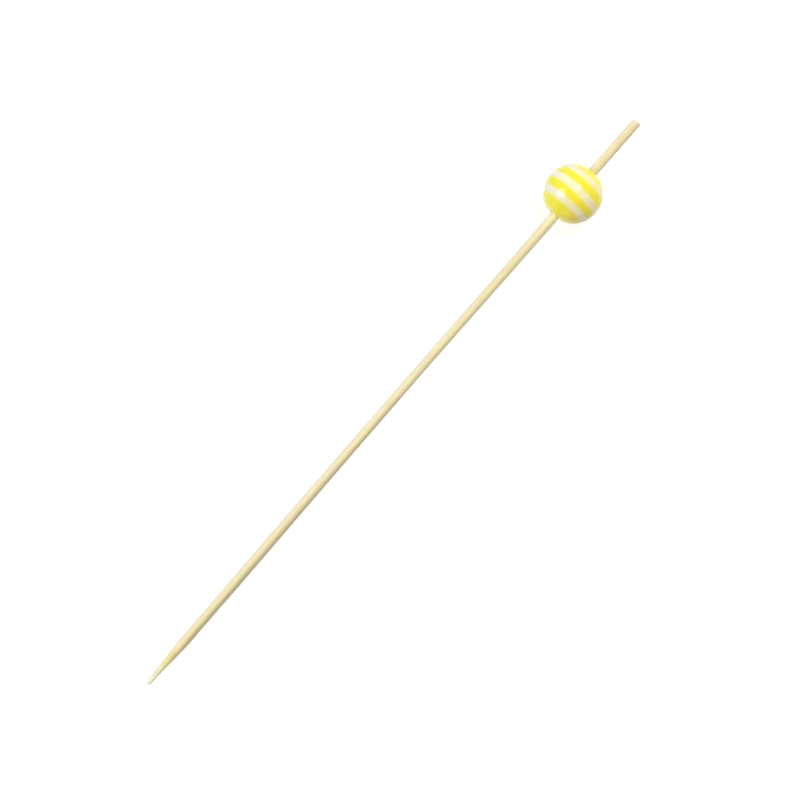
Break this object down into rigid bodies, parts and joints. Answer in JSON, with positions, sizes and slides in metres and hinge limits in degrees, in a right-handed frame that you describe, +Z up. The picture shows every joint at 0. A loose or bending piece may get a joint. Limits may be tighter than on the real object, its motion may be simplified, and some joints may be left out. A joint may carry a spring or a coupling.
{
  "type": "bamboo skewer",
  "caption": "Bamboo food skewer with a sharpened point and a round bead near its blunt end, glossy, in yellow with white stripes across its hole.",
  "frame": {"origin": "on the table, under the middle of the box of the lying skewer", "axes": "+X runs along the skewer from its point to its butt, +Z is up; the stick's own axis leans up towards the butt by 2.40 degrees, because the skewer lies on its bead and on the shoulder of its point"},
  "size_m": [0.1498, 0.012, 0.012],
  "materials": {
    "bamboo": "satin",
    "bead_yellow": "gloss",
    "bead_white": "gloss"
  },
  "bodies": {
    "root": {"stick": "bamboo", "bead": "bead_yellow", "stripe_point_side": "bead_white", "stripe_middle": "bead_white", "stripe_butt_side": "bead_white"}
  },
  "joints": []
}
